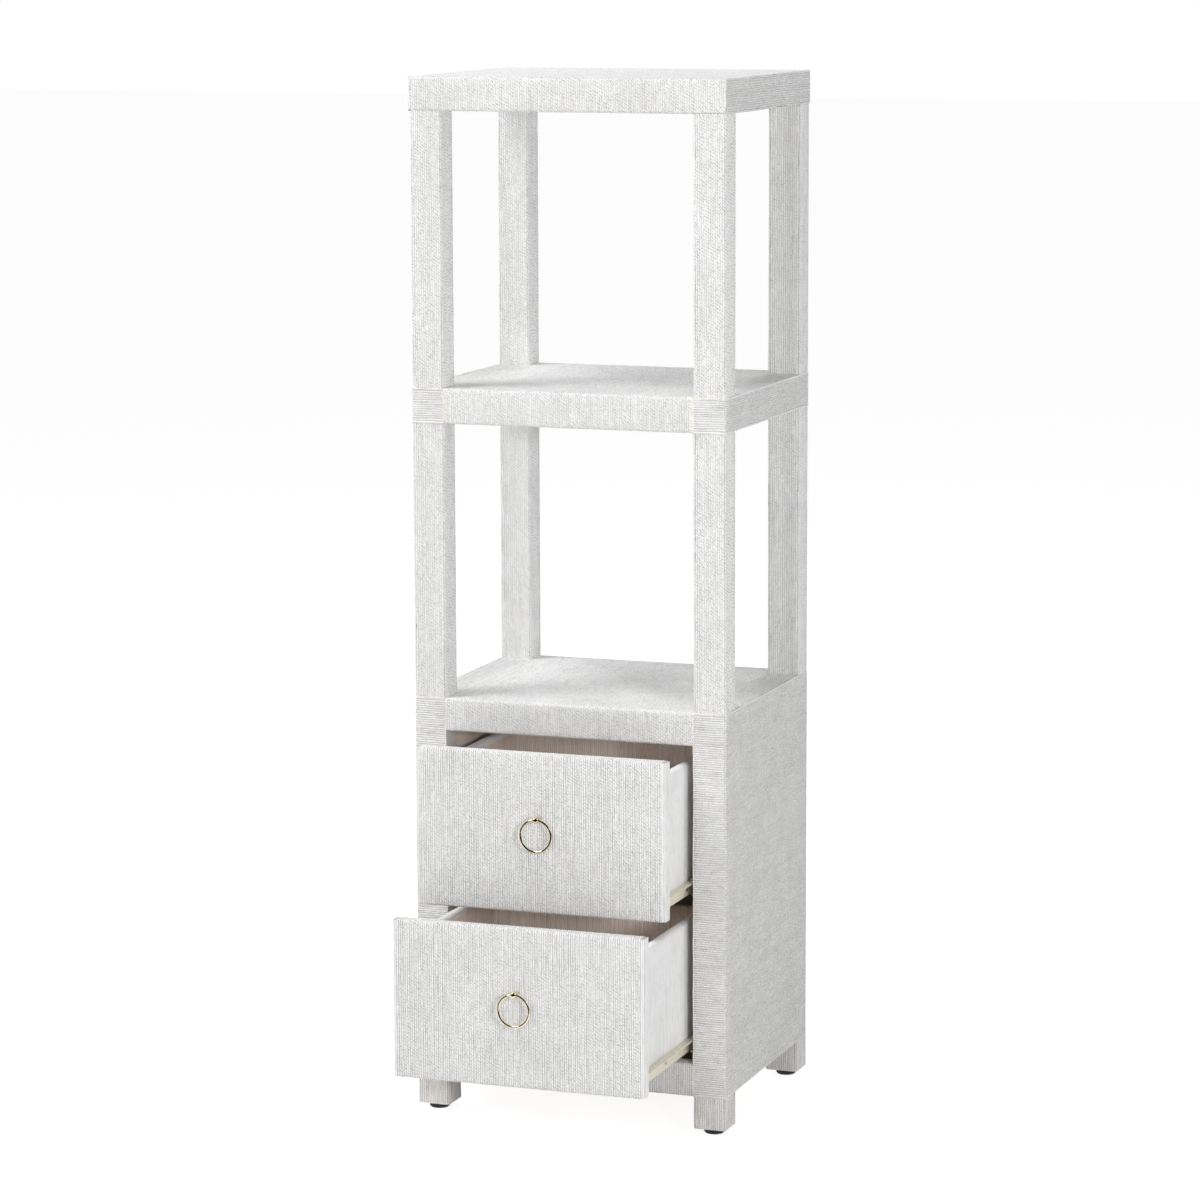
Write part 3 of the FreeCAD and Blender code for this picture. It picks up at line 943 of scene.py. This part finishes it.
def single_cord(place: Vector, step: Vector, course: Points, closed: bool = False) -> CordRun:
    """One cord along a course, in the direction of a row that starts with a step."""
    return CordRun([place, place + step], course, course_closed=closed, single=True)


def level_cords(course: Points, levels: Span, pitch: float) -> list[CordRun]:
    """One level cord along a course at each height."""
    return [single_cord(Vector((0, 0, z)), Vector((0, 0, pitch)), course) for z in levels]


def side_wrap(block: Block, side: Side, inner: float) -> tuple[Points, Points]:
    """Go level from the front, round a side of a block, to its back.

    Args:
        block: The block that is wound.
        side: The side that the path goes round.
        inner: How far from the middle the path starts and ends.

    Returns:
        The path's stretch across the front, and the rest of it. Both run in the direction that turns the
        cords outwards when the row climbs.
    """
    x = block.outer(side)
    start = inner * side.value
    front, back = block.lo.y, block.hi.y
    corners = outline("xy", (start, front), (x, front), (x, back), (start, back))
    course = rounded_path(corners[::-side.value])
    split = -side.value * sum(point.y < front + FLAT_LIMIT for point in course)
    across, rest = [course[:split], course[split - 1:]][::-side.value]
    return across, rest


def strip(level: float, up: bool, front: float, back: float) -> Points:
    """A path from front to back on a level face, or from back to front under it."""
    ends = outline("yz", (front, level), (back, level))
    return rounded_path(ends if up else ends[::-1])


@dataclass
class WoundPart:
    """A part of the tower that is wound with cord, with its sizes in metres."""

    winder: Winder
    body: str = "case"
    lay: Lay = Lay()
    seam: Lay = Lay(pitch=0.0024, rise=0.0009, drift=0.0003, stray=0.0002, jitter=0.0)
    end_gap: float = 0.0004
    seam_inset: float = 0.0006

    def wind(self, name: str, runs: list[CordRun], wrap: Wrap, lay: Optional[Lay] = None) -> None:
        """Lay runs as one piece on the part's body, in the part's own lay if no other is given."""
        self.winder.wind(name, self.body, runs, lay or self.lay, wrap)

    def seam_levels(self, low: float, high: float) -> Span:
        """The heights of the seams along two level edges."""
        return low + self.seam_inset, high - self.seam_inset

    def flank_row(self, block: Block, side: Side, inner: float) -> Points:
        """A row from the posts' inner faces out to one side of a block."""
        edges = sorted((inner * side.value, block.outer(side) - EDGE_RADIUS * side.value / 2))
        return cross_row(*edges, self.lay.pitch)


@dataclass
class OpenTower(WoundPart):
    """The top board, the middle shelf and the eight posts between them."""

    top: Block = boxed("top_panel")
    shelf: Block = boxed("middle_shelf")
    post: Block = boxed("upper_front_right_post")

    def wind_top(self) -> None:
        """Wind the top board from front to back, and its ends level."""
        lo, hi, pitch, gap = self.top.lo, self.top.hi, self.lay.pitch, self.end_gap
        runs = [CordRun(cross_row(lo.x, hi.x, pitch), self.top.hoop(), course_closed=True)]
        for side in Side:
            x = self.top.outer(side)
            ends = outline("xy", (x, lo.y - gap), (x, hi.y + gap))
            row = level_row(lo.z - gap, hi.z + gap, pitch)
            runs.append(CordRun(row, rounded_path(ends[::-side.value])))
        self.wind("top_board_cords", runs, Wrap.USUAL)

    def wind_shelf(self) -> None:
        """Wind the shelf from front to back between the posts, and its corners and ends level."""
        block, inner, depth, pitch = self.shelf, self.post.lo.x, self.post.hi.y, self.lay.pitch
        runs = [CordRun(cross_row(-inner, inner, pitch), block.hoop(), course_closed=True)]
        row = level_row(block.lo.z, block.hi.z, pitch)
        levels = self.seam_levels(block.lo.z, block.hi.z)
        corners, seams, rims = [], [], []
        for side in Side:
            for level, up in ((block.hi.z, True), (block.lo.z, False)):
                runs.append(CordRun(self.flank_row(block, side, inner), strip(level, up, depth, -depth)))
            front, rest = side_wrap(block, side, inner)
            corners.append(CordRun(row, front))
            runs.append(CordRun(row, rest))
            for x in (inner, inner - self.seam.pitch):
                place = Vector((x * side.value, 0, 0))
                seams.append(single_cord(place, Vector((pitch, 0, 0)), block.hoop(), True))
            seams += level_cords(front, levels, pitch)
            rims += level_cords(rest, levels, pitch)
        self.wind("middle_shelf_cords", runs, Wrap.USUAL)
        # The corner cords take the deeper painted shade between cords, like the stiles
        self.wind("middle_shelf_corner_cords", corners, Wrap.STILE)
        self.wind("middle_shelf_seams", seams, Wrap.SEAM, self.seam)
        self.wind("middle_shelf_rims", rims, Wrap.SIDE, self.seam)

    def post_runs(self, end: str, side: Side) -> list[CordRun]:
        """Lay the upright cords of the two posts at one corner.

        Args:
            end: Front or back.
            side: The corner's side.

        Returns:
            A run for each post.
        """
        gap = self.end_gap
        posts = [Block.of(f"{level.value}_{end}_{side.word}_post") for level in Level]
        return [CordRun(post.girth(), upright(post.lo.z + gap, post.hi.z - gap), row_closed=True)
                for post in posts]

    def wind_posts(self) -> None:
        """Wind each post with upright cords, those at the back right with deeper painted shade between the
        cords.
        """
        runs = self.post_runs("back", Side.LEFT)
        for side in Side:
            runs += self.post_runs("front", side)
        self.wind("post_cords", runs, Wrap.USUAL)
        self.wind("back_right_post_cords", self.post_runs("back", Side.RIGHT), Wrap.LINED)

    def dress(self) -> None:
        """Wind every piece of the tower."""
        self.wind_top()
        self.wind_shelf()
        self.wind_posts()


@dataclass
class DrawerBase(WoundPart):
    """The closed base under the tower: deck, rails, sides, legs and feet."""

    deck: Block = boxed("deck_panel")
    top_rail: Block = boxed("top_rail")
    bottom_rail: Block = boxed("bottom_rail")
    post: Block = boxed("lower_front_right_post")
    leg_inner_radius: float = 0.001

    def leg(self, end: str, side: Side) -> Block:
        """One corner leg."""
        return Block.of(f"{end}_{side.word}_leg")

    def wind_deck(self) -> None:
        """Wind the deck from under the top rail, over its front, to the back, with seams at its edges."""
        inner, depth, pitch = self.top_rail.hi.x, self.post.hi.y, self.lay.pitch
        front, back, top, foot = self.deck.lo.y, self.deck.hi.y, self.deck.hi.z, self.bottom_rail.lo.z
        over = outline("yz", (front, top), (back, top), (back, self.deck.lo.z))
        under = outline("yz", (self.top_rail.hi.y, self.top_rail.lo.z), (front, self.top_rail.lo.z))
        upwards = rounded_path(outline("yz", (front, foot)) + over)
        runs = [CordRun(cross_row(-inner, inner, pitch), rounded_path(under + over))]
        levels = self.seam_levels(foot, top)
        seams, rims = [], []
        for side in Side:
            runs.append(CordRun(self.flank_row(self.deck, side, inner), strip(top, True, depth, -depth)))
            seams.append(single_cord(Vector((inner * side.value, 0, 0)), Vector((pitch, 0, 0)), upwards))
            stile, rest = side_wrap(self.deck, side, inner)
            seams += level_cords(stile, levels, pitch)
            rims += level_cords(rest, levels, pitch)
        self.wind("deck_cords", runs, Wrap.USUAL)
        self.wind("base_seams", seams, Wrap.SEAM, self.seam)
        self.wind("base_rims", rims, Wrap.SIDE, self.seam)

    def wind_sides(self) -> None:
        """Wind each side level, from the front stile round to the back leg."""
        stiles = []
        for side in Side:
            leg = self.leg("front", side)
            row = level_row(self.bottom_rail.lo.z, self.deck.hi.z, self.lay.pitch)
            front, rest = side_wrap(self.deck, side, min(abs(leg.lo.x), abs(leg.hi.x)))
            stiles.append(CordRun(row, front))
            self.wind(f"{side.word}_side_cords", [CordRun(row, rest)], Wrap.USUAL)
        # The stiles take the deeper painted shade between their cords
        self.wind("stile_cords", stiles, Wrap.STILE)

    def wind_bottom_rail(self) -> None:
        """Wind the bottom rail upright, over its edges."""
        lo, hi = self.bottom_rail.lo, self.bottom_rail.hi
        corners = outline("yz", (hi.y, lo.z), (lo.y, lo.z), (lo.y, hi.z), (hi.y, hi.z))
        run = CordRun(cross_row(lo.x, hi.x, self.lay.pitch), rounded_path(corners))
        # The rail's cords take the deeper painted shade, as it sits in shade under the lower drawer
        self.wind("bottom_rail_cords", [run], Wrap.STILE)

    def wind_feet(self) -> None:
        """Wind each foot with upright cords."""
        runs = []
        for end in ("front", "back"):
            for side in Side:
                leg = self.leg(end, side)
                course = upright(leg.lo.z, self.bottom_rail.lo.z - self.end_gap)
                runs.append(CordRun(leg.girth(self.leg_inner_radius), course, row_closed=True))
        self.wind("foot_cords", runs, Wrap.FOOT)

    def dress(self) -> None:
        """Wind every piece of the base."""
        self.wind_deck()
        self.wind_sides()
        self.wind_bottom_rail()
        self.wind_feet()


@dataclass
class Drawer(WoundPart):
    """One drawer: its wound front and the wound sides and back of its box."""

    lay: Lay = Lay(rise=0.0005, drift=0.0003)
    back_lay: Lay = Lay(rise=0.0006, drift=0.0004)
    edge_inset: float = 0.0008
    top_lap: float = 0.014
    bottom_lap: float = 0.007
    back_lap: float = 0.020
    box_edge: float = 0.004
    side_lap: float = 0.007
    side_gap: float = 0.001

    def board(self, words: str) -> Block:
        """One board or slide of the drawer."""
        return Block.of(f"{self.body}_{words}")

    def wind_front(self) -> None:
        """Wind the front upright over its edges, and its corners and two ends upright."""
        front = self.board("front")
        lo, hi, pitch = front.lo, front.hi, self.lay.pitch
        corners = outline("yz", (hi.y, lo.z + self.bottom_lap), (hi.y, lo.z), (lo.y, lo.z), (lo.y, hi.z),
                          (hi.y, hi.z), (hi.y, hi.z - self.top_lap))
        reach = EDGE_RADIUS + pitch / 2
        run = CordRun(cross_row(lo.x + reach, hi.x - reach, pitch), rounded_path(corners))
        course = upright(lo.z + self.edge_inset, hi.z - self.edge_inset)
        ends = []
        for side in Side:
            x = front.outer(side)
            turn = outline("xy", (x - EDGE_RADIUS * side.value, lo.y), (x, lo.y), (x, hi.y - pitch / 2))
            ends.append(CordRun(rounded_path(turn[::side.value]), course))
        self.wind(f"{self.body}_front_cords", [run], Wrap.FRONT)
        self.wind(f"{self.body}_end_cords", ends, Wrap.SIDE)

    def side_row(self, side: Side, front: float, back: float) -> Points:
        """A row along a side of the box, in the direction that turns upright cords outwards."""
        ends = [Vector((0, y, 0)) for y in (front, back)]
        return straight_row(*ends[::side.value], self.lay.pitch)

    def wind_box(self) -> None:
        """Wind the box upright: its sides white outside and over the top, its inside bare."""
        front = self.board("front").hi.y + self.side_gap
        floor = self.board("bottom").hi.z
        inner = self.board("right_side").lo.x
        lo, hi = self.board("back").lo, self.board("back").hi
        corners = outline("yz", (lo.y, floor), (lo.y, hi.z), (hi.y, hi.z), (hi.y, hi.z - self.back_lap))
        row = cross_row(-inner, inner, self.back_lay.pitch)
        bare = [CordRun(row, rounded_path(corners, self.box_edge))]
        white = []
        for side in Side:
            board, slide = self.board(f"{side.word}_side"), self.board(f"{side.word}_slide")
            outside, inside, top = board.outer(side), inner * side.value, board.hi.z
            corners = outline("xz", (outside, slide.hi.z + self.side_gap), (outside, top), (inside, top),
                              (inside, top - self.side_lap))
            row = self.side_row(side, front, board.hi.y)
            white.append(CordRun(row, rounded_path(corners, self.box_edge)))
            course = rounded_path(outline("xz", (inside, top - self.side_lap), (inside, floor)))
            bare.append(CordRun(self.side_row(side, front, lo.y - self.side_gap), course))
        self.wind(f"{self.body}_side_cords", white, Wrap.SIDE)
        self.wind(f"{self.body}_inner_cords", bare, Wrap.BARE, self.back_lay)

    def dress(self) -> None:
        """Wind the front and the box."""
        self.wind_front()
        self.wind_box()


@dataclass(frozen=True)
class Lamp:
    """A soft square lamp, in metres and watts."""

    name: str
    place: Place
    width: float
    power: float
    mirrored: bool = True
    aim: Place = (0.0, 0.0, 0.65)

    def hang(self) -> None:
        """Put the lamp in the scene, turned to what it lights."""
        data = bpy.data.lights.new(self.name, "AREA")
        data.shape = "SQUARE"
        data.size = self.width
        data.energy = self.power
        lamp = new_object(self.name, data)
        lamp.visible_glossy = self.mirrored
        lamp.location = self.place
        lamp.rotation_euler = (Vector(self.aim) - Vector(self.place)).to_track_quat("-Z", "Y").to_euler()


@dataclass(frozen=True)
class Camera:
    """The photograph's viewpoint, in metres and degrees."""

    place: Place = (1.78087, -4.95971, 1.45178)
    yaw: float = 19.94
    pitch: float = 8.92
    roll: float = -0.20
    focal_pixels: float = 4302.865
    image_pixels: float = 1200.0
    sensor: float = 36.0
    reach: float = 100.0

    def set_up(self) -> None:
        """Add the camera and make it the scene's own."""
        yaw, pitch, roll = (math.radians(angle) for angle in (self.yaw, self.pitch, self.roll))
        ahead = Vector((-math.sin(yaw) * math.cos(pitch), math.cos(yaw) * math.cos(pitch), -math.sin(pitch)))
        level = Vector((math.cos(yaw), math.sin(yaw), 0))
        above = level.cross(ahead)
        right = level * math.cos(roll) + above * math.sin(roll)
        up = above * math.cos(roll) - level * math.sin(roll)
        data = bpy.data.cameras.new("photo_camera")
        data.sensor_width = self.sensor
        data.lens = self.focal_pixels * self.sensor / self.image_pixels
        data.clip_end = self.reach
        camera = new_object("photo_camera", data)
        axes = Matrix((right, up, -ahead)).transposed()
        camera.matrix_world = Matrix.Translation(Vector(self.place)) @ axes.to_4x4()
        bpy.context.scene.camera = camera


@dataclass(frozen=True)
class Studio:
    """A white floor, a white surround and soft lamps."""

    floor_half: float = 30.0
    floor_colour: Colour = (0.72, 0.72, 0.72, 1.0)
    seen_floor_colour: Colour = (0.30, 0.30, 0.30, 1.0)
    seen_floor_glow: float = 0.89
    ambient: float = 0.29
    room_glow: float = 0.01
    room_edges: Span = (0.05, 0.45)
    floor_edges: Span = (-1.1, -0.5)
    lamps: tuple[Lamp, ...] = (
        Lamp("key_lamp", (-1.47, -1.03, 3.77), 1.2, 54.0),
        Lamp("left_lamp", (-2.26, -1.58, 2.96), 1.2, 36.0),
        Lamp("right_lamp", (2.36, -2.72, 1.10), 0.6, 42.0, mirrored=False),
        Lamp("front_lamp", (0.0, -3.60, 1.14), 0.6, 18.0, mirrored=False),
        Lamp("side_lamp", (3.25, -0.28, 2.17), 1.2, 14.0),
        Lamp("back_lamp", (0.0, 2.91, 2.77), 1.2, 41.0),
        Lamp("rear_lamp", (-3.07, 1.12, 2.17), 1.2, 20.0),
    )

    @staticmethod
    def seen(sketch: Sketch) -> Socket:
        """Tell what is looked at from what only lights.

        Args:
            sketch: The nodes of the floor or the world.

        Returns:
            1 where a ray is the camera's own, a reflection or a view through glass.
        """
        path = sketch.add("ShaderNodeLightPath").outputs
        mirrored = sketch.maths("MAXIMUM", path["Is Glossy Ray"], path["Is Transmission Ray"])
        return sketch.maths("MAXIMUM", path["Is Camera Ray"], mirrored)

    def glow(self, sketch: Sketch, kind: str, edges: Span) -> Socket:
        """Make the room white to the camera, and dim in front of the tower where metal mirrors it.

        Args:
            sketch: The nodes of the floor or the world.
            kind: The coordinates that tell front from back.
            edges: Where along them the room goes from dim to white.

        Returns:
            How white the room is.
        """
        backwards = sketch.parts(sketch.here(kind))["Y"]
        room = sketch.ease(backwards, edges, self.room_glow)
        return sketch.maths("MAXIMUM", sketch.add("ShaderNodeLightPath").outputs["Is Camera Ray"], room)

    def lay_floor(self) -> None:
        """Lay the pale floor, which shows as white and keeps the tower's shadow."""
        half = self.floor_half
        mesh = bpy.data.meshes.new("floor")
        corners = outline("xy", (-half, -half), (half, -half), (half, half), (-half, half))
        mesh.from_pydata(corners, [], [range(len(corners))])
        material = bpy.data.materials.new("floor_white")
        sketch = blank_sketch(material)
        lit = sketch.first("ShaderNodeBsdfDiffuse", {"Color": self.floor_colour})
        pale = sketch.first("ShaderNodeBsdfDiffuse", {"Color": self.seen_floor_colour})
        glow = sketch.first("ShaderNodeEmission", {"Strength": self.seen_floor_glow})
        shown = sketch.first("ShaderNodeAddShader", {0: pale, 1: glow})
        white = self.glow(sketch, "Object", self.floor_edges)
        shown = sketch.first("ShaderNodeMixShader", {0: white, 2: shown})
        surface = sketch.first("ShaderNodeMixShader", {0: self.seen(sketch), 1: lit, 2: shown})
        sketch.add("ShaderNodeOutputMaterial", {"Surface": surface})
        mesh.materials.append(material)
        floor = new_object("floor", mesh)

    def surround(self) -> None:
        """Make the world white to look at, softer as a light, and dim in front where metal mirrors it."""
        world = bpy.data.worlds.new("studio")
        sketch = blank_sketch(world)
        strengths = (self.ambient, self.glow(sketch, "Generated", self.room_edges))
        soft, white = (sketch.first("ShaderNodeBackground", {"Color": WHITE, "Strength": strength})
                       for strength in strengths)
        both = sketch.first("ShaderNodeMixShader", {0: self.seen(sketch), 1: soft, 2: white})
        sketch.add("ShaderNodeOutputWorld", {"Surface": both})
        bpy.context.scene.world = world

    def set_up(self) -> None:
        """Light the scene and set how it is shown."""
        self.lay_floor()
        self.surround()
        for lamp in self.lamps:
            lamp.hang()
        bpy.context.scene.view_settings.view_transform = "Standard"


def main() -> None:
    """Build the tower's looks in order."""
    logging.basicConfig(level=logging.INFO, format="%(name)s: %(message)s")
    Camera().set_up()
    Studio().set_up()
    finishes = Finishes()
    finishes.dress_nodes()
    winder = Winder(finishes)
    OpenTower(winder).dress()
    DrawerBase(winder).dress()
    for level in Level:
        Drawer(winder, f"{level.value}_drawer").dress()


if __name__ == "__main__":
    main()
